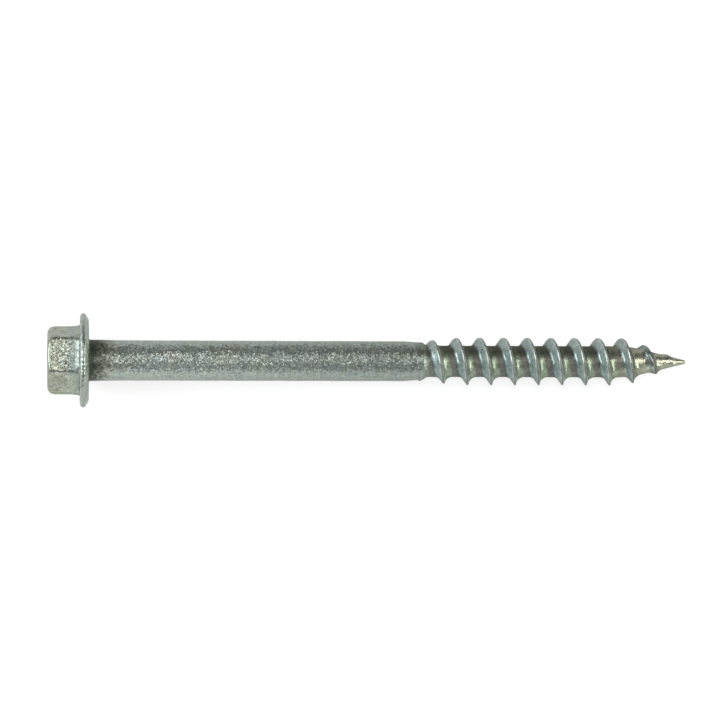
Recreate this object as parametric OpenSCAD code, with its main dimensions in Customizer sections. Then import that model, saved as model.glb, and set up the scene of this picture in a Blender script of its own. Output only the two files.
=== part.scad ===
// Structural connector screw with a hexagon washer head: one cold-headed piece with a
// rolled coarse wood thread and a gimlet point, lying on the floor (z = 0) as it comes to rest.
// The axis runs along +X from head to point, on the plane y = 0. Millimetres.

/* [Hexagon] */
// Width of the hexagon across its flats
hex_af = 6.35; // [5.6:0.05:7.4]
// Radius on the hexagon's six corners
hex_corner_r = 0.3; // [0.2:0.05:0.8]
// Turn of the hexagon about the axis, from a flat that faces the floor
hex_turn = 49; // [0:1:60]
// Height of the hexagon above the flange
hex_h = 3.35; // [2.6:0.05:5]
// Radius on the edge round the hexagon's end
hex_edge_r = 0.35; // [0.2:0.05:0.6]
// Radius to which the corners are rounded off at the end
crown_r = 2.5; // [1:0.1:2.6]
// Length over which the corners are rounded off
crown_l = 0.95; // [0.7:0.05:1.2]
// Height of the hollow flare from the flats to the flange
flare_h = 1.2; // [0.5:0.1:1.8]
// Reach of the flare across the flange, under the flats
flare_w = 0.45; // [0.2:0.05:0.6]
// Radius to which the corners are rounded off at the flare's foot
flare_r = 2.8; // [1.5:0.1:3]
// Width of the dish that heading leaves in the hexagon's end
dish_d = 4; // [2:0.1:4.6]
// Depth of the dish
dish_depth = 0.25; // [0.1:0.05:0.6]

/* [Flange] */
// Diameter of the flange
flange_d = 9.86; // [9:0.02:12]
// Thickness of the flange
flange_t = 0.95; // [0.9:0.05:1.6]
// Radius on the flange's upper edge
flange_edge_r = 0.38; // [0.1:0.02:0.4]
// Diameter of the flat face that bears on the connector
bearing_d = 8.5; // [7:0.1:8.8]
// Height of the bevel from the bearing face to the rim
bevel_h = 0.42; // [0.2:0.02:0.48]
// Radius under the head
neck_r = 0.2; // [0.1:0.05:0.5]

/* [Shank] */
// Length of the screw under its head
screw_l = 63.5; // [56:0.5:76]
// Diameter of the plain shank
shank_d = 4.22; // [4.1:0.02:4.4]
// Diameter to which heading swells the shank next to the flange
swell_d = 4.32; // [4.24:0.02:4.6]
// Length of the swelling
swell_l = 3.6; // [1:0.2:8]
// Length of the shank at its full diameter
shank_l = 33.2; // [28:0.2:34]
// Diameter to which the shank is drawn down at its end
draw_d = 4.02; // [3.8:0.02:4.1]
// Length of the taper down to that diameter
draw_l = 1.2; // [0.6:0.1:2]
// Length of the drawn-down end
draw_land = 0.65; // [0.3:0.05:1]
// Length of the shoulder down to the thread's root
shoulder_l = 0.6; // [0.3:0.1:1]

/* [Thread] */
// Diameter over the crests
major_d = 5.04; // [4.9:0.02:5.4]
// Diameter at the root
root_d = 3.32; // [3:0.02:3.4]
// Advance in one turn
pitch = 2.55; // [2.3:0.01:2.8]
// Width of the flat on the crest
crest_w = 0.2; // [0.06:0.02:0.24]
// Lean of the flank that faces the head
head_flank = 34; // [25:1:40]
// Lean of the flank that faces the point
point_flank = 12; // [8:1:30]
// Radius where the head's flank meets the root
head_root_r = 0.55; // [0.3:0.05:0.65]
// Radius where the point's flank meets the root
point_root_r = 0.82; // [0.5:0.02:0.9]
// Distance before the shank's full end at which the crest starts to rise from the root
rise_back = 2.8; // [2:0.2:4]
// Length over which the crest rises to its full height
rise_l = 8.6; // [6:0.2:12]
// Direction about the axis in which the thread runs out, from the floor side
runout_turn = 193; // [0:1:360]

/* [Point] */
// Angle of the gimlet point
point_angle = 27; // [22:1:36]
// Softness of the bend where the root runs into the point
point_blend = 0.3; // [0.1:0.05:0.5]
// Distance from the tip at which the crest starts to sink
fade_l = 6.4; // [3:0.1:8]
// Distance from the tip at which the crest has run out
runout_l = 1.15; // [1.1:0.05:1.6]
// Diameter of the blunt end of the point
tip_d = 0.4; // [0.2:0.05:0.6]

/* [Hidden] */
$fn = 96;
// steps of the thread in a turn, and steps in each rounded corner of the hexagon
turn_steps = 28;
corner_steps = 4;
// reach of the hexagon and the shank into the flange
overlap = 0.4;
// depth at which the flare's foot and the shoulder's end lie inside the form they run into
sink = 0.05;
// rounding of the blunt end, along the axis
tip_h = 0.08;
head_h = flange_t + hex_h;
thread_depth = (major_d - root_d) / 2;
runout_z = screw_l - runout_l;
fade_z = screw_l - fade_l;
rise_z = shank_l - rise_back;
turns = ceil((runout_z - shank_l) / pitch);

// one side of the ridge's section from its crest to its foot: distance from the crest's middle,
// and height above the root
function ridge_side(flank, r, arc_steps) =
    let (
        bend = 90 - flank,
        end = crest_w / 2 + thread_depth * tan(flank) + r * tan(bend / 2)
    )
    concat(
        [[crest_w / 2, thread_depth]],
        [for (k = [arc_steps : -1 : 0])
            let (b = bend * k / arc_steps)
            [end - r * sin(b), r * (1 - cos(b))]]
    );
head_side = ridge_side(head_flank, head_root_r, 2);
point_side = ridge_side(point_flank, point_root_r, 3);
// the ridge's section from its foot on the head side to its foot on the point side
ridge = concat(
    [for (k = [len(head_side) - 1 : -1 : 0]) [-head_side[k][0], head_side[k][1]]],
    point_side
);
steps = len(ridge);
last_row = steps * turns - 1;

function bound(v) = max(0, min(1, v));

// smaller of two radii, with a soft bend between them
function soft_min(a, b, k) =
    let (w = bound(0.5 + (b - a) / k / 2))
    a * w + b * (1 - w) - k * w * (1 - w);

// radius of the root along the axis
function core_at(z) =
    soft_min(root_d / 2, tip_d / 2 + (screw_l - tip_h - z) * tan(point_angle / 2), point_blend);

// share of the full ridge that stands at a place along the axis
function share_at(z) =
    bound((z - rise_z) / rise_l) * bound((runout_z - z) / (runout_z - fade_z));

function crest_at(z) = core_at(z) + thread_depth * share_at(z);

function row_z(i, j) =
    runout_z + pitch * (floor(j / steps) - turns + i / turn_steps) + ridge[j % steps][0];

function thread_point(i, j) =
    let (z = row_z(i, j), r = core_at(z) + ridge[j % steps][1] * share_at(z), a = 360 * i / turn_steps)
    [r * cos(a), r * sin(a), z];

// number of the thread's vertex at step i of the turn and row j along the axis
function vertex(i, j) =
    i == turn_steps ? j + steps :
    i == 0 ? j : last_row + steps + 1 + (i - 1) * (last_row + 1) + j;

// rest: the rim and one crest stand on the floor
rest_tilt = min([
    for (k = [0 : turns - 4])
    let (z = runout_z - pitch * (runout_turn / 360 + k))
    atan((flange_d / 2 - crest_at(z)) / (z + bevel_h))
]);
rest_lift = flange_d / 2 * cos(rest_tilt) - bevel_h * sin(rest_tilt);
end_reach = crown_r + (hex_af / 2 - hex_edge_r - crown_r) * cos(hex_turn - 30) / cos(30);
rest_mid = ((screw_l - head_h) * cos(rest_tilt) - end_reach * sin(rest_tilt)) / 2;

// section of the hexagon with rounded corners, or a circle, as directions and radii
function hex_point(k, apothem, corner) =
    let (
        side = floor(k / (corner_steps + 1)),
        step = k % (corner_steps + 1),
        a = 60 * side + 30,
        b = a - 30 + 60 * step / corner_steps,
        reach = (apothem - corner) / cos(30)
    )
    [reach * cos(a) + corner * cos(b), reach * sin(a) + corner * sin(b)];

// radius of the corners over the length that is rounded off
function corner_at(s) = hex_corner_r + (crown_r - hex_corner_r) * s * s;

module hexagon() {
    a = hex_af / 2;
    ring = 6 * (corner_steps + 1);
    // height, apothem and corner radius of the sections from the flange to the end
    sections = concat(
        [[flange_t - overlap, a + flare_w, flare_r]],
        [for (b = [0 : 22.5 : 90])
            let (s = 1 - sin(b))
            [flange_t - sink + flare_h * (1 - cos(b)), a + flare_w * s,
             hex_corner_r + (flare_r - hex_corner_r) * s]],
        [for (s = [0, 0.2, 0.4]) [head_h - crown_l * (1 - s), a, corner_at(s)]],
        [for (b = [0 : 22.5 : 90])
            let (h = hex_edge_r * (1 - sin(b)))
            [head_h - h, a - hex_edge_r * (1 - cos(b)), corner_at(1 - h / crown_l)]]
    );
    // the dish's circles, from its rim inwards
    dish = [for (s = [1, 0.72, 0.4]) [s * dish_d / 2, head_h - dish_depth * (1 - s * s)]];
    walls = [for (s = sections, k = [0 : ring - 1]) concat(hex_point(k, s[1], s[2]), s[0])];
    hollow = [
        for (d = dish, k = [0 : ring - 1])
        let (p = hex_point(k, a, hex_corner_r))
        [d[0] * p[0] / norm(p), d[0] * p[1] / norm(p), d[1]]
    ];
    rows = len(sections) + len(dish);
    sides = [
        for (s = [0 : rows - 2], k = [0 : ring - 1])
        let (n = (k + 1) % ring)
        each [
            [s * ring + k, (s + 1) * ring + k, s * ring + n],
            [(s + 1) * ring + k, (s + 1) * ring + n, s * ring + n]
        ]
    ];
    middle = [
        for (k = [0 : ring - 1])
        [(rows - 1) * ring + k, rows * ring, (rows - 1) * ring + (k + 1) % ring]
    ];
    base = [[for (k = [0 : ring - 1]) k]];
    rotate([180, 0, hex_turn])
        polyhedron(
            points = concat(walls, hollow, [[0, 0, head_h - dish_depth]]),
            faces = concat(base, sides, middle)
        );
}

module flange_section() {
    r = flange_d / 2;
    translate([0, -flange_t])
        square([r - flange_edge_r, flange_t - bevel_h]);
    translate([0, flange_edge_r - flange_t])
        square([r, flange_t - flange_edge_r - bevel_h]);
    intersection() {
        translate([r - flange_edge_r, flange_edge_r - flange_t])
            circle(flange_edge_r);
        translate([0, -flange_t])
            square([r, flange_t - bevel_h]);
    }
    polygon([[0, -bevel_h], [r, -bevel_h], [bearing_d / 2, 0], [0, 0]]);
}

module shank_section() {
    r = shank_d / 2;
    z1 = shank_l + draw_l;
    z2 = z1 + draw_land;
    polygon([
        [0, -overlap], [swell_d / 2, -overlap], [swell_d / 2, 0], [r, swell_l], [r, shank_l],
        [draw_d / 2, z1], [draw_d / 2, z2], [root_d / 2 - sink, z2 + shoulder_l], [0, z2 + shoulder_l]
    ]);
    difference() {
        square([swell_d / 2 + neck_r, neck_r]);
        translate([swell_d / 2 + neck_r, neck_r])
            circle(neck_r);
    }
}

module thread() {
    points = concat(
        [for (j = [0 : last_row + steps]) thread_point(0, j)],
        [for (i = [1 : turn_steps - 1], j = [0 : last_row]) thread_point(i, j)],
        [for (a = [0 : 360 / turn_steps : 359]) [tip_d / 2 * cos(a), tip_d / 2 * sin(a), screw_l - tip_h]],
        [[0, 0, row_z(turn_steps / 2, 0)], [0, 0, screw_l]]
    );
    start = len(points) - 2;
    tip = len(points) - 1;
    end = start - turn_steps;
    sides = [
        for (i = [0 : turn_steps - 1], j = [0 : last_row - 1])
        each [
            [vertex(i, j), vertex(i, j + 1), vertex(i + 1, j)],
            [vertex(i, j + 1), vertex(i + 1, j + 1), vertex(i + 1, j)]
        ]
    ];
    // the end inside the shank
    inner = concat(
        [for (i = [0 : turn_steps - 1]) [vertex(i, 0), vertex(i + 1, 0), start]],
        [for (j = [0 : steps - 1]) [j + 1, j, start]]
    );
    // the last of the point, past the turn in which the ridge runs out
    outer = concat(
        [for (j = [last_row : last_row + steps - 1]) [j, j + 1, vertex(1, last_row)]],
        [[last_row + steps, end, vertex(1, last_row)], [end, end + 1, vertex(1, last_row)]],
        [for (i = [1 : turn_steps - 1])
            let (next = end + (i + 1) % turn_steps)
            each [
                [vertex(i, last_row), end + i, vertex(i + 1, last_row)],
                [end + i, next, vertex(i + 1, last_row)]
            ]],
        [for (i = [0 : turn_steps - 1]) [end + i, tip, end + (i + 1) % turn_steps]]
    );
    rotate([0, 0, runout_turn])
        polyhedron(points = points, faces = concat(sides, inner, outer));
}

// the screw on its own axis: bearing face at z = 0, point upwards
module upright() {
    union() {
        rotate_extrude()
            union() {
                flange_section();
                shank_section();
            }
        hexagon();
        thread();
    }
}

module connector_screw() {
    color("#9ca5a2")
        translate([-rest_mid, 0, rest_lift])
            rotate([0, 90 + rest_tilt, 0])
                upright();
}

connector_screw();
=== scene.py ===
"""Looks for the structural connector screw.

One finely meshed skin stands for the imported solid, on the same sizes, with a galvanised zinc
material. The screw lies on a white floor under soft light, and the camera looks down on it.
Sizes are millimetres on the screw's own axis unless a name says otherwise: the bearing face is
at z = 0, the point is at +z and +x faces the floor. Blender's objects are in metres.
"""

import math

import bpy
import numpy as np
from mathutils import Matrix, Vector, noise


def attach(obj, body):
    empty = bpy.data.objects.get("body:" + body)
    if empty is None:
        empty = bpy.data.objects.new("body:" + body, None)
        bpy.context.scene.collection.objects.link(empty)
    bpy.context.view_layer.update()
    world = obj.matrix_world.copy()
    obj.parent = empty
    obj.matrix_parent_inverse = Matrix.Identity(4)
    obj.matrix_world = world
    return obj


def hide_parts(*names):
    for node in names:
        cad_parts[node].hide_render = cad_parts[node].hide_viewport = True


NODE = "connector_screw"
MM = 0.001

# Hexagon
HEX_APOTHEM = 6.35 / 2
HEX_CORNER_R = 0.3
HEX_TURN = math.radians(49)
HEX_H = 3.35
HEX_EDGE_R = 0.35
CROWN_R = 2.5
CROWN_L = 0.95
FLARE_H = 1.2
FLARE_W = 0.45
FLARE_R = 2.8
DISH_R = 4.0 / 2
DISH_DEPTH = 0.25

# Flange
FLANGE_R = 9.86 / 2
FLANGE_T = 0.95
FLANGE_EDGE_R = 0.38
BEARING_R = 8.5 / 2
BEVEL_H = 0.42
NECK_R = 0.2

# Shank
SCREW_L = 63.5
SHANK_R = 4.22 / 2
SWELL_R = 4.32 / 2
SWELL_L = 3.6
SHANK_L = 33.2
DRAW_R = 4.02 / 2
DRAW_L = 1.2
DRAW_LAND = 0.65
SHOULDER_L = 0.6
SHOULDER_SINK = 0.06

# Thread and point
MAJOR_R = 5.04 / 2
ROOT_R = 3.32 / 2
PITCH = 2.55
CREST_W = 0.2
CREST_DROP = 0.03
HEAD_FLANK = math.radians(34)
POINT_FLANK = math.radians(12)
HEAD_ROOT_R = 0.55
POINT_ROOT_R = 0.82
RISE_BACK = 2.8
RISE_L = 8.6
RUNOUT_TURN = math.radians(193)
POINT_ANGLE = math.radians(27)
POINT_BLEND = 0.3
FADE_L = 6.4
RUNOUT_L = 1.15
TIP_R = 0.4 / 2
TIP_H = 0.08

# Values that follow from the sizes
HEAD_H = FLANGE_T + HEX_H
DEPTH = MAJOR_R - ROOT_R
RUNOUT_Z = SCREW_L - RUNOUT_L
FADE_Z = SCREW_L - FADE_L
RISE_Z = SHANK_L - RISE_BACK
DRAW_Z = SHANK_L + DRAW_L
SHOULDER_Z = DRAW_Z + DRAW_LAND
POINT_Z = SCREW_L - TIP_H - (ROOT_R - TIP_R) / math.tan(POINT_ANGLE / 2)

# Mesh steps
COLUMNS = 180
THREAD_START_Z = 33.0
THREAD_END_Z = SCREW_L - 0.22

# Camera: millimetres from the screw's axis, and its lean towards the head
CAMERA_DISTANCE = 274.5
CAMERA_LEAN = math.radians(6.3)
CAMERA_LENS = 130.0
CAMERA_ROLL = 0.003
AIM_Z = 28.47
AIM_SIDE = 0.115

# Tones of the zinc coat, painted shadow, shade and highlights, and tints that multiply them, as linear colour
PLAIN = (1, 1, 1)
COAT_GREEN_TONE = (0.31, 0.342, 0.3)
COAT_BLUE_TONE = (0.285, 0.327, 0.318)
BLOT_TONE = (0.27, 0.26, 0.22)
# Painted highlight on the flange's rim
RIM_HIGHLIGHT_TONE = (0.6, 0.61, 0.58)
HEAD_TINT = (0.98, 0.95, 0.85)
FLARE_TINT = (1.02, 1.03, 1.02)
NECK_TINT = (1, 1, 0.98)
SHANK_TINT = (1.06, 1.06, 1.06)
# Painted shade: the shank's tint towards the thread
SHANK_END_SHADE_TINT = (0.85, 0.85, 0.85)
# Painted shade along the middle of the shank's faces turned to the camera and the floor
MIDDLE_SHADE_TINT = (0.68, 0.68, 0.7)
# Painted shadow of the flange on the neck: a brown edge, then dark, darkest next to the flange
NECK_SHADOW_EDGE_TONE = (0.2, 0.155, 0.085)
NECK_SHADOW_TONE = (0.065, 0.066, 0.042)
NECK_SHADOW_DEEP_TONE = (0.045, 0.057, 0.044)
CREST_TONE = (0.17, 0.16, 0.14)
BACK_TONE = (0.34, 0.37, 0.325)
HOLLOW_TONE = (0.26, 0.3, 0.24)
ROOT_TONE = (0.165, 0.163, 0.142)
# Painted shade in the crease at the flank's foot
FOOT_SHADE_TONE = (0.125, 0.145, 0.14)
FLANK_TONE = (0.262, 0.318, 0.308)
# Painted highlight along the crest's edge
CREST_EDGE_HIGHLIGHT_TONE = (0.38, 0.41, 0.39)
# Painted shade on the +Y side of the thread's valleys
VALLEY_SHADE_TONE = (0.035, 0.038, 0.022)
TIP_TONE = (0.33, 0.33, 0.26)
PLAIN_EDGE_TINT = (0.85, 0.86, 0.84)
# Grazing tint on the thread: dull zinc, and painted shade for the shadowed floor it mirrors
THREAD_EDGE_SHADE_TINT = (0.3, 0.31, 0.28)

# Grain of the coat: depths in millimetres, the usual span of noise, and where the thread's look starts
BROAD_DENTS = 0.03
FINE_DENTS = 0.02
FACETS_PER_MM = 7.2
NOISE_SPAN = (0.3, 0.7)
THREAD_LOOK = (34, 36)
SPARE_TURNS = 100


def share_at(z):
    """Share of the full ridge that stands at a place along the axis."""
    rise = np.clip((z - RISE_Z) / RISE_L, 0, 1)
    fade = np.clip((RUNOUT_Z - z) / (RUNOUT_Z - FADE_Z), 0, 1)
    return rise * fade


def core_at(z):
    """Radius of the thread's root, which runs into the point through a soft bend."""
    cone = TIP_R + (SCREW_L - TIP_H - z) * math.tan(POINT_ANGLE / 2)
    w = np.clip(0.5 + (cone - ROOT_R) / POINT_BLEND / 2, 0, 1)
    return ROOT_R * w + cone * (1 - w) - POINT_BLEND * w * (1 - w)


def rest_pose():
    """Matrix from the screw's own axis to the row frame: the rim and one crest on the floor."""
    turns = math.ceil((RUNOUT_Z - SHANK_L) / PITCH)
    places = RUNOUT_Z - PITCH * (RUNOUT_TURN / (2 * math.pi) + np.arange(turns - 3))
    crests = core_at(places) + DEPTH * share_at(places)
    tilt = float(np.min(np.arctan((FLANGE_R - crests) / (places + BEVEL_H))))
    lift = FLANGE_R * math.cos(tilt) - BEVEL_H * math.sin(tilt)
    end_flat = (HEX_APOTHEM - HEX_EDGE_R - CROWN_R) / math.cos(math.pi / 6)
    end_reach = CROWN_R + end_flat * math.cos(HEX_TURN - math.pi / 6)
    middle = ((SCREW_L - HEAD_H) * math.cos(tilt) - end_reach * math.sin(tilt)) / 2
    turn = Matrix.Rotation(math.pi / 2 + tilt, 4, "Y")
    return Matrix.Scale(MM, 4) @ Matrix.Translation((-middle, 0, lift)) @ turn


def hexagon_radius(angles, apothem, corner):
    """Radius of the turned hexagon, with rounded corners, in each column's direction."""
    half = math.pi / 6
    off_flat = np.abs((angles - HEX_TURN + half) % (2 * half) - half)
    reach = (apothem - corner) / math.cos(half)
    flat_end = math.atan2(reach * math.sin(half), apothem)
    off_corner = half - off_flat
    bow = np.sqrt(np.maximum(corner ** 2 - (reach * np.sin(off_corner)) ** 2, 0))
    return np.where(off_flat < flat_end, apothem / np.cos(off_flat), reach * np.cos(off_corner) + bow)


def corner_at(s):
    """Corner radius along the length over which the corners are rounded off, s from 0 to 1."""
    return HEX_CORNER_R + (CROWN_R - HEX_CORNER_R) * s * s


def head_rings(angles):
    """Rings (z, radii) from the dish out over the hexagon and down its flare to the flange."""
    circle = np.ones_like(angles)
    rings = []
    for s in np.linspace(0.12, 1, 8):
        rings.append((-HEAD_H + DISH_DEPTH * (1 - s * s), circle * DISH_R * s))
    end = hexagon_radius(angles, HEX_APOTHEM - HEX_EDGE_R, corner_at(1))
    for s in (0.15, 0.5, 0.85):
        rings.append((-HEAD_H, DISH_R + (end - DISH_R) * s))
    for b in np.radians(np.linspace(90, 0, 9)):
        drop = HEX_EDGE_R * (1 - math.sin(b))
        apothem = HEX_APOTHEM - HEX_EDGE_R * (1 - math.cos(b))
        rings.append((drop - HEAD_H, hexagon_radius(angles, apothem, corner_at(1 - drop / CROWN_L))))
    for s in np.linspace(0.55, 0, 6):
        rings.append((CROWN_L * (1 - s) - HEAD_H, hexagon_radius(angles, HEX_APOTHEM, corner_at(s))))
    straight = HEAD_H - CROWN_L - FLANGE_T - FLARE_H
    for s in np.linspace(0, 1, 7)[1:-1]:
        rings.append((CROWN_L - HEAD_H + straight * s, hexagon_radius(angles, HEX_APOTHEM, HEX_CORNER_R)))
    for b in np.radians(np.linspace(90, 0, 10)):
        s = 1 - math.sin(b)
        corner = HEX_CORNER_R + (FLARE_R - HEX_CORNER_R) * s
        radii = hexagon_radius(angles, HEX_APOTHEM + FLARE_W * s, corner)
        rings.append((-FLANGE_T - FLARE_H * (1 - math.cos(b)), radii))
    return rings


def flange_rings(angles, foot):
    """Rings from the flare's foot over the flange's rim to the bearing face."""
    circle = np.ones_like(angles)
    rings = []
    for s in (0.3, 0.65, 0.9):
        rings.append((-FLANGE_T, foot + (FLANGE_R - FLANGE_EDGE_R - foot) * s))
    for b in np.radians(np.linspace(0, 90, 9)):
        rings.append((FLANGE_EDGE_R * (1 - math.cos(b)) - FLANGE_T,
                      circle * (FLANGE_R - FLANGE_EDGE_R * (1 - math.sin(b)))))
    bevel = np.array([BEARING_R - FLANGE_R, BEVEL_H])
    ease = 0.12
    rings.append((-BEVEL_H - ease / 2, circle * FLANGE_R))
    for s in (ease, 0.35, 0.6, 1 - ease):
        rings.append((-BEVEL_H + bevel[1] * s, circle * (FLANGE_R + bevel[0] * s)))
    for s in (0.04, 0.35, 0.7):
        rings.append((0, circle * (BEARING_R - ease - (BEARING_R - ease - SWELL_R - NECK_R) * s)))
    return rings


def shank_at(z):
    """Radius of the shank, its swelling and its drawn-down end; nothing past the shoulder."""
    ends = [0, SWELL_L, SHANK_L, DRAW_Z, SHOULDER_Z, SHOULDER_Z + SHOULDER_L, SHOULDER_Z + 3 * SHOULDER_L]
    radii = [SWELL_R, SHANK_R, SHANK_R, DRAW_R, DRAW_R, ROOT_R - SHOULDER_SINK, 0]
    return np.interp(z, ends, radii)


def shank_rings(angles):
    """Rings from the bearing face along the shank to where the thread's own rows start."""
    circle = np.ones_like(angles)
    rings = []
    for b in np.radians(np.linspace(0, 90, 8)):
        z = NECK_R * (1 - math.cos(b))
        rings.append((z, circle * (float(shank_at(z)) + NECK_R * (1 - math.sin(b)))))
    for z in np.linspace(NECK_R, THREAD_START_Z, 100)[1:]:
        rings.append((z, circle * float(shank_at(z))))
    return rings


def ridge_side(lean, root_r, flank_rows, arc_rows):
    """Distances from the crest's middle and heights of the rows on one side of the ridge."""
    bend = math.pi / 2 - lean
    end = CREST_W / 2 + DEPTH * math.tan(lean) + root_r * math.tan(bend / 2)
    arc = bend * np.linspace(1, 0, arc_rows)
    x, h = end - root_r * np.sin(arc), root_r * (1 - np.cos(arc))
    s = np.linspace(0, 1, flank_rows + 1)[:-1]
    x_flank = CREST_W / 2 + (x[0] - CREST_W / 2) * s
    h_flank = DEPTH - CREST_DROP + (h[0] - DEPTH + CREST_DROP) * s
    return np.concatenate([x_flank, x]), np.concatenate([h_flank, h])


def ridge_rows():
    """Offsets and heights of the thread's rows in one pitch, from the ridge's foot on the head side."""
    head_x, head_h = ridge_side(HEAD_FLANK, HEAD_ROOT_R, 6, 6)
    point_x, point_h = ridge_side(POINT_FLANK, POINT_ROOT_R, 3, 9)
    crest_x = CREST_W / 4 * np.array([-1, 0, 1])
    crest_h = DEPTH - CREST_DROP * (2 * crest_x / CREST_W) ** 2
    root_x = np.linspace(point_x[-1], PITCH - head_x[-1], 5)[1:-1]
    x = np.concatenate([-head_x[::-1], crest_x, point_x, root_x])
    return x, np.concatenate([head_h[::-1], crest_h, point_h, 0 * root_x])


def thread_grid():
    """Places and radii of the thread's rows, which follow the helix; one line per column."""
    offsets, heights = ridge_rows()
    first = math.floor((THREAD_START_Z - RUNOUT_Z) / PITCH) - 2
    turns = np.arange(first, 3)
    rows = (RUNOUT_Z + PITCH * turns[:, None] + offsets[None, :]).ravel()
    lead = PITCH * np.arange(COLUMNS) / COLUMNS
    z = rows[None, :] + lead[:, None]
    thread = core_at(z) + np.tile(heights, len(turns))[None, :] * share_at(z)
    shank = shank_at(z)
    soft = 0.05
    gap = np.maximum(soft - np.abs(thread - shank), 0)
    return z, np.maximum(thread, shank) + gap ** 2 / (4 * soft), len(offsets)


def point_rings(angles):
    """Rings from the end of the thread's rows to the rounded tip."""
    circle = np.ones_like(angles)
    rings = [(THREAD_END_Z, circle * float(core_at(THREAD_END_Z)))]
    for b in np.radians(np.linspace(0, 80, 6)):
        rings.append((SCREW_L - TIP_H * 1.5 * (1 - math.sin(b)), circle * TIP_R * math.cos(b)))
    return rings


def lumps(point):
    """Unevenness of the tumbled zinc coat, in millimetres along the surface's normal."""
    p = Vector(point)
    broad = noise.noise(p * 0.55)
    middle = noise.noise(p * 1.3 + Vector((7, 3, 11)))
    fine = noise.noise(p * 3.1 + Vector((2, 13, 5)))
    return 0.010 * broad + 0.010 * middle + 0.006 * fine


class Skin:
    """Vertices and faces of the screw's closed surface, built ring by ring."""

    def __init__(self, angles):
        self.angles = angles
        self.points = []
        self.faces = []

    def add(self, z, radii):
        """Adds one vertex per column and gives their numbers."""
        start = len(self.points)
        z = np.broadcast_to(z, radii.shape)
        self.points += np.stack([radii * np.cos(self.angles), radii * np.sin(self.angles), z], 1).tolist()
        return np.arange(start, start + len(radii))

    def pole(self, z):
        """Adds a vertex on the axis."""
        self.points.append([0.0, 0.0, z])
        return np.full(COLUMNS, len(self.points) - 1)

    def face(self, *corners):
        """Adds a face without its repeated corners, if three are left."""
        kept = [c for k, c in enumerate(corners) if c != corners[k - 1]]
        if len(set(kept)) > 2:
            self.faces.append(kept)

    def bridge(self, low, high):
        """Joins two rings."""
        for k in range(COLUMNS):
            n = (k + 1) % COLUMNS
            self.face(low[k], low[n], high[n], high[k])

    def stack(self, ring, rings):
        """Joins a run of rings to a ring and gives the last one."""
        for z, radii in rings:
            fresh = self.add(z, radii)
            self.bridge(ring, fresh)
            ring = fresh
        return ring

    def helix(self, low, high):
        """Joins the thread's rows between two rings; rows that pass a ring end on it."""
        z, radii, pitch_rows = thread_grid()
        snap = 0.02
        inside = (z > THREAD_START_Z + snap) & (z < THREAD_END_Z - snap)
        number = np.where(z <= THREAD_START_Z + snap, low[:, None], high[:, None])
        for k in range(COLUMNS):
            spots = np.nonzero(inside[k])[0]
            number[k, spots] = np.arange(len(self.points), len(self.points) + len(spots))
            c, s = math.cos(self.angles[k]), math.sin(self.angles[k])
            r = radii[k, spots]
            self.points += np.stack([r * c, r * s, z[k, spots]], 1).tolist()
        last = z.shape[1] - pitch_rows - 1
        for k in range(COLUMNS):
            wrap = k == COLUMNS - 1
            right = number[0, pitch_rows:] if wrap else number[k + 1]
            left = number[k]
            for j in range(last):
                self.face(left[j], right[j], right[j + 1], left[j + 1])


def screw_mesh():
    """The screw's skin as a mesh on its own axis, in millimetres, before it is laid down."""
    angles = RUNOUT_TURN + 2 * math.pi * np.arange(COLUMNS) / COLUMNS
    skin = Skin(angles)
    head = head_rings(angles)
    ring = skin.stack(skin.pole(DISH_DEPTH - HEAD_H), head)
    ring = skin.stack(ring, flange_rings(angles, head[-1][1]))
    ring = skin.stack(ring, shank_rings(angles))
    point = point_rings(angles)
    start = skin.add(*point[0])
    skin.helix(ring, start)
    tip = skin.stack(start, point[1:])
    skin.bridge(tip, skin.pole(SCREW_L))
    return skin


def make_screw():
    """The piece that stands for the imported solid."""
    skin = screw_mesh()
    mesh = bpy.data.meshes.new("screw")
    mesh.from_pydata(skin.points, [], skin.faces)
    mesh.update()
    normals = np.zeros(len(mesh.vertices) * 3)
    mesh.vertices.foreach_get("normal", normals)
    points = np.array(skin.points)
    height = np.array([lumps(p) for p in skin.points])
    points += normals.reshape(-1, 3) * height[:, None]
    mesh.vertices.foreach_set("co", points.ravel())
    mesh.transform(rest_pose())
    mesh.shade_smooth()
    mesh.update()
    screw = bpy.data.objects.new("screw", mesh)
    bpy.context.scene.collection.objects.link(screw)
    return screw


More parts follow.
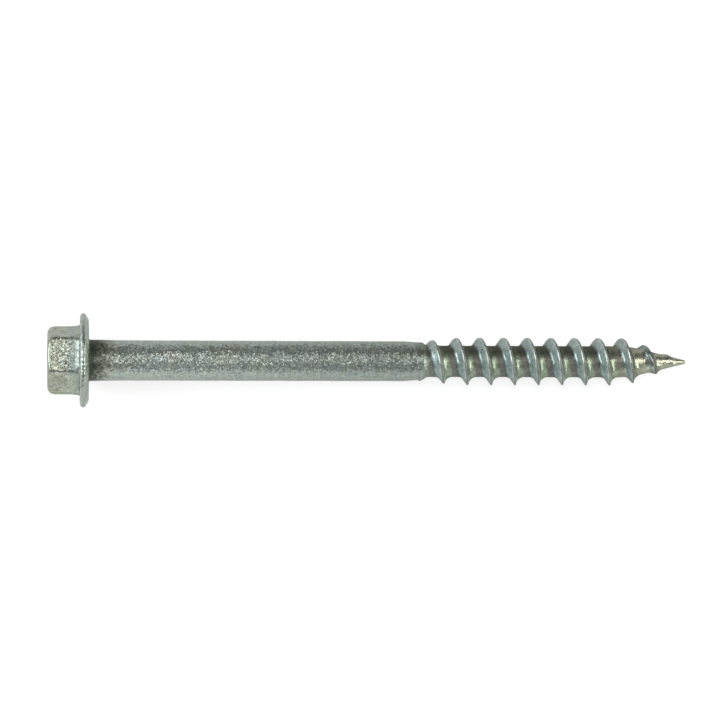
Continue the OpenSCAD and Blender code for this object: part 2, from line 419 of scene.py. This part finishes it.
class Nodes:
    """A material's or a world's node tree, with short calls to add and link nodes."""

    def __init__(self, tree):
        self.tree = tree
        tree.nodes.clear()

    def add(self, kind, **values):
        """Adds a node; values named like its inputs go there, the others on the node."""
        node = self.tree.nodes.new(kind)
        for name, value in values.items():
            title = name.replace("_", " ").title()
            if title in node.inputs:
                node.inputs[title].default_value = value
            else:
                setattr(node, name, value)
        return node

    def link(self, source, target):
        """Links an output to an input."""
        self.tree.links.new(source, target)

    def noise(self, place, scale, detail, roughness=0.5):
        """Noise around 0.5, with so many cells to the millimetre."""
        node = self.add("ShaderNodeTexNoise", scale=scale, detail=detail, roughness=roughness)
        self.link(place, node.inputs["Vector"])
        return node.outputs["Fac"]

    def ramp(self, source, *stops):
        """Colours between stops, each a position and a colour."""
        node = self.add("ShaderNodeValToRGB")
        while len(node.color_ramp.elements) < len(stops):
            node.color_ramp.elements.new(0.5)
        for element, (position, color) in zip(node.color_ramp.elements, stops):
            element.position = position
            element.color = (*color, 1)
        self.link(source, node.inputs["Fac"])
        return node.outputs["Color"]

    def curve(self, source, *stops):
        """Values between stops, each a position and a value."""
        return self.ramp(source, *[(position, (value, value, value)) for position, value in stops])

    def between(self, source, low, high, to_low, to_high):
        """Maps low to high onto to_low to to_high, and stays there outside."""
        node = self.add("ShaderNodeMapRange", from_min=low, from_max=high, to_min=to_low, to_max=to_high)
        self.link(source, node.inputs["Value"])
        return node.outputs["Result"]

    def mix(self, factor, first, second, blend="MIX"):
        """Mixes two colours."""
        node = self.add("ShaderNodeMix", data_type="RGBA", blend_type=blend)
        if isinstance(factor, float):
            node.inputs["Factor"].default_value = factor
        else:
            self.link(factor, node.inputs["Factor"])
        self.link(first, node.inputs[6])
        self.link(second, node.inputs[7])
        return node.outputs[2]

    def tinted(self, color, tint):
        """Multiplies two colours."""
        return self.mix(1.0, color, tint, "MULTIPLY")

    def math(self, operation, *values):
        """Works on outputs or numbers."""
        node = self.add("ShaderNodeMath", operation=operation)
        for value, socket in zip(values, node.inputs):
            if isinstance(value, (int, float)):
                socket.default_value = value
            else:
                self.link(value, socket)
        return node.outputs[0]

    def vector(self, operation, *values):
        """Works on vector outputs or tuples."""
        node = self.add("ShaderNodeVectorMath", operation=operation)
        for value, socket in zip(values, node.inputs):
            if isinstance(value, tuple):
                socket.default_value = value
            else:
                self.link(value, socket)
        return node.outputs["Vector"]

    def sum(self, first, second):
        """Adds two outputs."""
        return self.math("ADD", first, second)

    def product(self, first, *others):
        """Multiplies outputs."""
        for other in others:
            first = self.math("MULTIPLY", first, other)
        return first

    def tone(self, color):
        """A fixed colour."""
        node = self.add("ShaderNodeRGB")
        node.outputs[0].default_value = (*color, 1)
        return node.outputs[0]

    def bump(self, height, distance, strength, normal=None):
        """A normal that follows a height; distance in metres."""
        node = self.add("ShaderNodeBump", distance=distance)
        self.link(height, node.inputs["Height"])
        self.link(strength, node.inputs["Strength"])
        if normal:
            self.link(normal, node.inputs["Normal"])
        return node.outputs["Normal"]


class Zinc:
    """Mechanically galvanised zinc: pale grey, speckled, satin, with a painted shadow of the flange on the
    neck and painted highlights and shade on the thread.
    """

    def __init__(self, nodes, pose):
        self.nodes = nodes
        self.locate(pose)
        self.mask()

    def locate(self, pose):
        """Finds a place's millimetres along, beside and from the axis, and its phase on the thread.

        The phase is 0 on the crest's middle and rises to 1 over one pitch towards the point.
        """
        nodes = self.nodes
        location, rotation, scale = pose.decompose()
        own_axis = nodes.add("ShaderNodeMapping", vector_type="TEXTURE", location=location,
                             rotation=rotation.to_euler(), scale=scale)
        nodes.link(nodes.add("ShaderNodeTexCoord").outputs["Object"], own_axis.inputs["Vector"])
        self.place = own_axis.outputs["Vector"]
        parts = nodes.add("ShaderNodeSeparateXYZ")
        nodes.link(self.place, parts.inputs[0])
        self.along, self.side = parts.outputs["Z"], parts.outputs["Y"]
        length = nodes.add("ShaderNodeVectorMath", operation="LENGTH")
        nodes.link(nodes.vector("MULTIPLY", self.place, (1, 1, 0)), length.inputs[0])
        self.radius = length.outputs["Value"]
        turn = nodes.math("ARCTAN2", self.side, parts.outputs["X"])
        start = SPARE_TURNS + RUNOUT_TURN / (2 * math.pi) - RUNOUT_Z / PITCH
        helix = nodes.math("MULTIPLY_ADD", self.along, 1 / PITCH, start)
        self.phase = nodes.math("FRACT", nodes.math("MULTIPLY_ADD", turn, -0.5 / math.pi, helix))

    def mask(self):
        """Finds how far a place is in the flange's painted shadow on the neck, on the thread, in its root and
        on a bright strip.
        """
        nodes, along = self.nodes, self.along
        self.patches = nodes.noise(self.place, 2.6, 3, 0.6)
        self.uneven_side = nodes.sum(self.side, nodes.between(self.patches, *NOISE_SPAN, -0.3, 0.3))
        ragged = nodes.sum(along, nodes.between(self.patches, *NOISE_SPAN, -0.7, 0.7))
        # The flange's painted shadow on the neck: full at the bearing face, gone by about 3 mm along,
        # reaching further towards +Y, only on the shank
        slanted = nodes.sum(ragged, nodes.between(self.side, -2.2, 2.2, 0.75, -0.2))
        self.neck = nodes.product(nodes.between(slanted, 0.7, 3.1, 0.95, 0),
                                  nodes.between(self.radius, 2.4, 3.2, 1, 0),
                                  nodes.between(along, -0.5, -0.1, 0, 1))
        self.thread = nodes.between(ragged, *THREAD_LOOK, 0, 1)
        core = nodes.between(along, POINT_Z, SCREW_L - TIP_H, ROOT_R, TIP_R)
        height = nodes.math("SUBTRACT", self.radius, core)
        self.root = nodes.product(nodes.between(height, 0.02, 0.12, 0.95, 0), self.thread)
        self.bright = nodes.curve(self.phase, (0.06, 0), (0.16, 1), (0.36, 1), (0.46, 0), (0.6, 0), (0.66, 1),
                                  (0.74, 1), (0.8, 0), (0.93, 0), (0.95, 0.5), (0.98, 0.5), (1, 0))

    def grain(self):
        """The fine grain in all tones."""
        nodes = self.nodes
        patchy = nodes.ramp(self.patches, (0.32, (0.78, 0.79, 0.78)), (0.5, PLAIN),
                            (0.72, (1.14, 1.14, 1.13)))
        specks = nodes.ramp(nodes.noise(self.place, 6.5, 1), (0.36, (0.86, 0.86, 0.86)), (0.5, PLAIN),
                            (0.64, (1.15, 1.15, 1.14)))
        return nodes.tinted(patchy, specks)

    def plain_color(self, grain):
        """Tones of the head and the shank: warmer on the head, bluer in the flare, the shank darker towards
        the thread and in its middle as painted shade, and a painted highlight on the flange's rim.
        """
        nodes, along, place = self.nodes, self.along, self.place
        coat = nodes.ramp(nodes.noise(place, 0.6, 3), (0.36, COAT_GREEN_TONE), (0.64, COAT_BLUE_TONE))
        color = nodes.tinted(coat, grain)
        blots = nodes.between(nodes.noise(place, 1.1, 2), 0.52, 0.7, 0, 0.4)
        color = nodes.mix(blots, color, nodes.tone(BLOT_TONE))
        # Painted shade: the shank gets darker towards the thread
        lengthwise = nodes.ramp(nodes.between(along, -4, 32, 0, 1), (0, HEAD_TINT), (0.044, HEAD_TINT),
                                (0.062, FLARE_TINT), (0.09, NECK_TINT), (0.3, SHANK_TINT),
                                (1, SHANK_END_SHADE_TINT))
        color = nodes.tinted(color, lengthwise)
        # Painted shade along the middle of the shank, growing towards the thread
        off_side = nodes.math("ABSOLUTE", self.uneven_side)
        middle_shade = nodes.product(nodes.between(along, 8, 30, 0, 0.6), nodes.between(off_side, 0.7, 1.4, 1, 0))
        color = nodes.mix(middle_shade, color, nodes.tinted(color, nodes.tone(MIDDLE_SHADE_TINT)))
        marks = nodes.ramp(nodes.noise(place, 1.3, 3, 0.6), (0.36, (0.8, 0.79, 0.79)), (0.5, PLAIN),
                           (0.66, (1.14, 1.15, 1.08)))
        color = nodes.mix(nodes.between(along, -1.4, -0.6, 1, 0), color, nodes.tinted(color, marks))
        # Painted highlight along the top of the flange's rim, broken up by noise
        rim = nodes.product(nodes.between(self.radius, 4.5, 4.8, 0, 0.6),
                            nodes.between(along, -0.85, -0.65, 1, 0),
                            nodes.between(self.patches, 0.36, 0.62, 0.1, 1))
        return nodes.mix(rim, color, nodes.tone(RIM_HIGHLIGHT_TONE))

    def thread_color(self, grain):
        """Tones of the thread, from a crest over its point side and the root to the next crest, with a
        painted highlight on the crest's edge and painted shade in the flank's foot, towards -Y and on the +Y
        side of the valleys.
        """
        nodes, phase = self.nodes, self.phase
        # The dark stop near 0.65 is painted shade in the crease at the flank's foot
        # The pale stop near 0.95 is a painted highlight along the crest's edge
        color = nodes.ramp(phase, (0, CREST_TONE), (0.015, CREST_TONE), (0.04, BACK_TONE), (0.2, HOLLOW_TONE),
                           (0.36, HOLLOW_TONE), (0.45, ROOT_TONE), (0.58, ROOT_TONE), (0.63, FOOT_SHADE_TONE),
                           (0.67, FOOT_SHADE_TONE), (0.75, FLANK_TONE), (0.92, FLANK_TONE), (0.945, CREST_EDGE_HIGHLIGHT_TONE),
                           (0.965, CREST_EDGE_HIGHLIGHT_TONE), (0.985, CREST_TONE))
        worn = nodes.ramp(nodes.noise(self.place, 1.9, 2), (0.36, (0.86, 0.88, 0.9)), (0.5, PLAIN),
                          (0.64, (1.14, 1.13, 1.08)))
        late = nodes.ramp(nodes.between(self.along, 55, 60, 0, 1), (0, PLAIN), (1, (0.75, 0.73, 0.72)))
        # Painted shade: the thread gets darker and bluer towards -Y, the side that the side box lights
        low = nodes.ramp(nodes.between(self.side, -2, -0.5, 0, 1), (0, (0.86, 0.91, 0.91)), (1, PLAIN))
        for tint in (grain, worn, late, low):
            color = nodes.tinted(color, tint)
        # Painted shade on the +Y side of the thread's valleys, darkest towards +Y
        valley = nodes.product(nodes.between(phase, 0.05, 0.16, 0, 1), nodes.between(phase, 0.6, 0.8, 1, 0))
        valley_shade = nodes.product(nodes.between(self.uneven_side, 0.1, 1.0, 0, 0.75), valley)
        return nodes.mix(valley_shade, color, nodes.tone(VALLEY_SHADE_TONE))

    def color(self):
        """The whole screw's colour."""
        nodes = self.nodes
        grain = self.grain()
        # Painted shadow of the flange on the neck, brown at its edge
        neck_shadow = nodes.ramp(self.neck, (0.1, NECK_SHADOW_EDGE_TONE), (0.6, NECK_SHADOW_TONE), (1, NECK_SHADOW_DEEP_TONE))
        color = nodes.mix(self.neck, self.plain_color(grain), neck_shadow)
        color = nodes.mix(self.thread, color, self.thread_color(grain))
        tip = nodes.product(self.root, nodes.between(self.along, 54, 59, 0, 1))
        return nodes.mix(tip, color, nodes.tone(TIP_TONE))

    def normal(self):
        """Small dents and facets that lean at random, weaker where the coat was rolled and in the flange's
        painted shadow on the neck.
        """
        nodes, along = self.nodes, self.along
        off_neck = nodes.between(self.neck, 0, 0.8, 1, 0.4)
        dented = nodes.product(nodes.between(along, -2, -0.8, 0.5, 1),
                               nodes.between(along, *THREAD_LOOK, 1, 0.55),
                               nodes.between(along, 55, 59, 1, 0.7), off_neck)
        dents = nodes.bump(nodes.noise(self.place, 1.5, 0), BROAD_DENTS * MM, dented)
        dents = nodes.bump(nodes.noise(self.place, 4.5, 0), FINE_DENTS * MM, dented, dents)
        facets = nodes.add("ShaderNodeTexVoronoi", scale=FACETS_PER_MM)
        nodes.link(self.place, facets.inputs["Vector"])
        lean = nodes.vector("SUBTRACT", facets.outputs["Color"], (0.5, 0.5, 0.5))
        share = nodes.product(nodes.between(along, *THREAD_LOOK, 0.5, 0.14), off_neck,
                              nodes.between(along, -1.2, -0.2, 0.55, 1),
                              nodes.between(along, -4.2, -3.7, 0.2, 1))
        return nodes.vector("NORMALIZE", nodes.vector("ADD", dents, nodes.vector("MULTIPLY", lean, share)))

    def roughness(self):
        """Satin: rougher in the flare, the root and the flange's painted shadow on the neck, smoother on the
        head and the bright strips.
        """
        nodes, along = self.nodes, self.along
        grains = nodes.noise(self.place, 5.2, 2, 0.6)
        lengthwise = nodes.curve(nodes.between(along, -4, 36, 0, 1), (0, 0.85), (0.044, 0.85), (0.055, 1.15),
                                 (0.072, 1.15), (0.085, 0.9), (0.35, 1), (0.9, 1.12), (1, 1))
        strips = nodes.product(self.bright, self.thread)
        satin = nodes.product(nodes.between(grains, *NOISE_SPAN, 0.28, 0.38),
                              nodes.between(along, 34, 62, 1.1, 0.95),
                              lengthwise, nodes.between(strips, 0, 1, 1, 0.82))
        satin = nodes.sum(satin, nodes.product(self.root, nodes.between(along, 52, 58, 0.2, 0)))
        return nodes.sum(satin, nodes.between(self.neck, 0, 0.8, 0, 0.2))

    def metallic(self):
        """Less metallic where the thread is dull."""
        nodes = self.nodes
        dull = nodes.product(self.thread, nodes.between(self.along, 56, 60, 1, 0),
                             nodes.between(self.bright, 0, 1, 1, 0.2))
        return nodes.between(dull, 0, 1, 0.9, 0.5)

    def edge_tint(self):
        """Colour at a grazing angle, which is darker on the thread: dull zinc, and painted shade for the
        shadowed floor that the thread would mirror.
        """
        nodes = self.nodes
        return nodes.mix(self.thread, nodes.tone(PLAIN_EDGE_TINT), nodes.tone(THREAD_EDGE_SHADE_TINT))


def zinc_material(pose):
    """The screw's material, on the axis that the pose lays down."""
    material = bpy.data.materials.new("galvanised_zinc")
    material.use_nodes = True
    nodes = Nodes(material.node_tree)
    zinc = Zinc(nodes, pose)
    shader = nodes.add("ShaderNodeBsdfPrincipled")
    nodes.link(zinc.color(), shader.inputs["Base Color"])
    nodes.link(zinc.metallic(), shader.inputs["Metallic"])
    nodes.link(zinc.roughness(), shader.inputs["Roughness"])
    nodes.link(zinc.edge_tint(), shader.inputs["Specular Tint"])
    nodes.link(zinc.normal(), shader.inputs["Normal"])
    output = nodes.add("ShaderNodeOutputMaterial")
    nodes.link(shader.outputs["BSDF"], output.inputs["Surface"])
    return material


def make_floor():
    """A floor that the camera and the metal see white, with the screw's shadow on it."""
    bpy.ops.mesh.primitive_plane_add(size=3)
    floor = bpy.context.object
    floor.name = "floor"
    material = bpy.data.materials.new("white_floor")
    material.use_nodes = True
    nodes = Nodes(material.node_tree)
    paint = nodes.add("ShaderNodeBsdfDiffuse", color=(0.65, 0.65, 0.65, 1))
    shade = nodes.add("ShaderNodeBsdfDiffuse", color=(0.3, 0.3, 0.3, 1))
    glow = nodes.add("ShaderNodeEmission", color=(1, 1, 1, 1), strength=0.75)
    seen = nodes.add("ShaderNodeAddShader")
    nodes.link(shade.outputs[0], seen.inputs[0])
    nodes.link(glow.outputs[0], seen.inputs[1])
    rays = nodes.add("ShaderNodeLightPath").outputs
    direct = nodes.math("MAXIMUM", rays["Is Camera Ray"], rays["Is Glossy Ray"])
    direct = nodes.math("MAXIMUM", direct, rays["Is Transmission Ray"])
    either = nodes.add("ShaderNodeMixShader")
    nodes.link(direct, either.inputs[0])
    nodes.link(paint.outputs[0], either.inputs[1])
    nodes.link(seen.outputs[0], either.inputs[2])
    output = nodes.add("ShaderNodeOutputMaterial")
    nodes.link(either.outputs[0], output.inputs["Surface"])
    floor.data.materials.append(material)


def make_world():
    """A soft grey room, lighter towards -Y."""
    world = bpy.data.worlds.new("studio")
    bpy.context.scene.world = world
    world.use_nodes = True
    nodes = Nodes(world.node_tree)
    direction = nodes.add("ShaderNodeTexCoord").outputs["Generated"]
    parts = nodes.add("ShaderNodeSeparateXYZ")
    nodes.link(direction, parts.inputs[0])
    side = nodes.between(parts.outputs["Y"], -1, 1, 0, 1)
    room = nodes.ramp(side, (0.04, (0.6, 0.62, 0.61)), (0.25, (0.26, 0.27, 0.265)),
                      (0.5, (0.155, 0.163, 0.159)), (0.85, (0.16, 0.165, 0.155)))
    background = nodes.add("ShaderNodeBackground")
    nodes.link(room, background.inputs["Color"])
    output = nodes.add("ShaderNodeOutputWorld")
    nodes.link(background.outputs[0], output.inputs["Surface"])


def make_lamp(name, place, size, power, color=(1, 1, 1)):
    """A soft box that faces the screw's middle; place and size in metres."""
    light = bpy.data.lights.new(name, "AREA")
    light.shape = "RECTANGLE"
    light.size, light.size_y = size
    light.energy = power
    light.color = color
    lamp = bpy.data.objects.new(name, light)
    lamp.location = place
    lamp.rotation_euler = (-Vector(place)).to_track_quat("-Z", "Y").to_euler()
    lamp.visible_camera = False
    bpy.context.scene.collection.objects.link(lamp)


def make_camera(pose):
    """Looks down on the screw, from a little towards its head."""
    axis = (pose.to_3x3() @ Vector((0, 0, 1))).normalized()
    up_from_screw = (pose.to_3x3() @ Vector((-1, 0, 0))).normalized()
    back = up_from_screw * math.cos(CAMERA_LEAN) - axis * math.sin(CAMERA_LEAN)
    aim = pose @ Vector((0, AIM_SIDE, AIM_Z))
    across = Vector((0, 1, 0))
    right = across.cross(back).normalized()
    turn = Matrix((right, across, back)).transposed().to_4x4()
    data = bpy.data.cameras.new("camera")
    data.lens = CAMERA_LENS
    data.clip_start = 0.01
    camera = bpy.data.objects.new("camera", data)
    camera.matrix_world = (
        Matrix.Translation(aim + back * CAMERA_DISTANCE * MM) @ turn @ Matrix.Rotation(CAMERA_ROLL, 4, "Z")
    )
    bpy.context.scene.collection.objects.link(camera)
    bpy.context.scene.camera = camera


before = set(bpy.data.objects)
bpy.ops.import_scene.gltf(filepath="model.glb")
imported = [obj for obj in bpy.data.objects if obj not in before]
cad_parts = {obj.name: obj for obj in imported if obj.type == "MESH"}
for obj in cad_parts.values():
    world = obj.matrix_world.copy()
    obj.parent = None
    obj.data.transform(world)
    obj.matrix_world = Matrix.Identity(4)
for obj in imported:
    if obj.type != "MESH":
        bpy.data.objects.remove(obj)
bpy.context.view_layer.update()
bpy.context.scene.view_settings.view_transform = "Standard"

screw = make_screw()
screw.data.materials.append(zinc_material(rest_pose()))
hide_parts(NODE)
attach(screw, "root")

make_floor()
make_world()
make_lamp("side_box", (0, -0.6, 0.16), (1.0, 0.28), 1.1, (0.97, 1.0, 0.98))
make_lamp("head_box", (-0.6, 0.1, 0.375), (0.6, 0.35), 4.6, (0.9, 0.97, 1.0))
make_lamp("point_box", (0.67, -0.08, 0.27), (0.7, 0.2), 3.0, (0.93, 1.0, 0.9))
make_lamp("top_box", (-0.045, 0.15, 0.57), (0.14, 0.28), 0.74, (1.0, 0.99, 1.0))
make_lamp("warm_box", (0.42, 0.1, 0.5), (0.25, 0.25), 1.4, (1.0, 0.98, 0.9))
make_camera(rest_pose())
